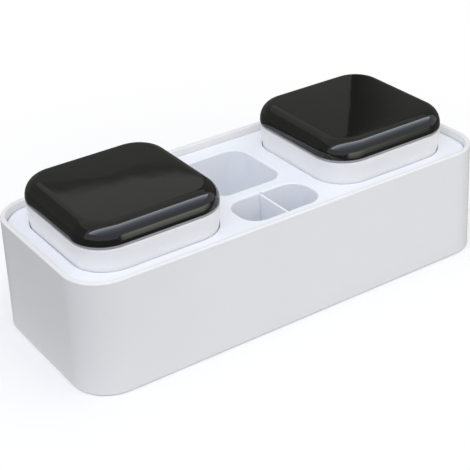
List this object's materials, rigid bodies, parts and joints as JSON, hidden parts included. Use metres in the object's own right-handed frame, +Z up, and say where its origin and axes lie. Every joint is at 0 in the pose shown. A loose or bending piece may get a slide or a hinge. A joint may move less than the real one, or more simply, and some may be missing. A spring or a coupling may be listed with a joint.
{
  "type": "wall toothbrush holder",
  "caption": "Wall-hung bathroom holder: a rounded white body with a sunk tray, two lidded square tumblers, a toothpaste pocket and a split toothbrush pocket.",
  "frame": {"origin": "centre of the body's footprint, on the surface it stands on", "axes": "+X along the body to its right end, +Y towards the wall, +Z up"},
  "size_m": [0.257, 0.106, 0.0839],
  "materials": {
    "body": "fine satin moulded white",
    "tray": "fine satin moulded white, slightly cool",
    "cup": "smooth white, semi-gloss",
    "cap": "high-gloss black",
    "seal": "soft grey, matte",
    "liner": "plain white moulding",
    "plate": "plain white moulding",
    "tape": "closed-cell foam tape",
    "screw": "zinc-plated steel"
  },
  "bodies": {
    "wall_mount": {"wall_plate": "plate", "adhesive_pad": "tape"},
    "holder": {"outer_shell": "body", "inner_tray": "tray", "base_cover": "body", "base_screw_front_left": "screw", "base_screw_front_right": "screw", "base_screw_back_left": "screw", "base_screw_back_right": "screw"},
    "divider": {"brush_divider": "tray"},
    "left_cup": {"left_cup": "cup"},
    "right_cup": {"right_cup": "cup"},
    "left_lid": {"left_lid_cap": "cap", "left_lid_liner": "liner", "left_lid_seal": "seal"},
    "right_lid": {"right_lid_cap": "cap", "right_lid_liner": "liner", "right_lid_seal": "seal"}
  },
  "joints": [
    {"name": "holder_lift", "type": "slide", "parent": "wall_mount", "child": "holder", "axis": [0, 0, 1], "range_m": [0, 0.008]},
    {"name": "divider_lift", "type": "slide", "parent": "holder", "child": "divider", "axis": [0, 0, 1], "range_m": [0, 0.06]},
    {"name": "left_cup_lift", "type": "slide", "parent": "holder", "child": "left_cup", "axis": [0, 0, 1], "range_m": [0, 0.06]},
    {"name": "right_cup_lift", "type": "slide", "parent": "holder", "child": "right_cup", "axis": [0, 0, 1], "range_m": [0, 0.06]},
    {"name": "left_lid_lift", "type": "slide", "parent": "left_cup", "child": "left_lid", "axis": [0, 0, 1], "range_m": [0, 0.03]},
    {"name": "right_lid_lift", "type": "slide", "parent": "right_cup", "child": "right_lid", "axis": [0, 0, 1], "range_m": [0, 0.03]}
  ]
}
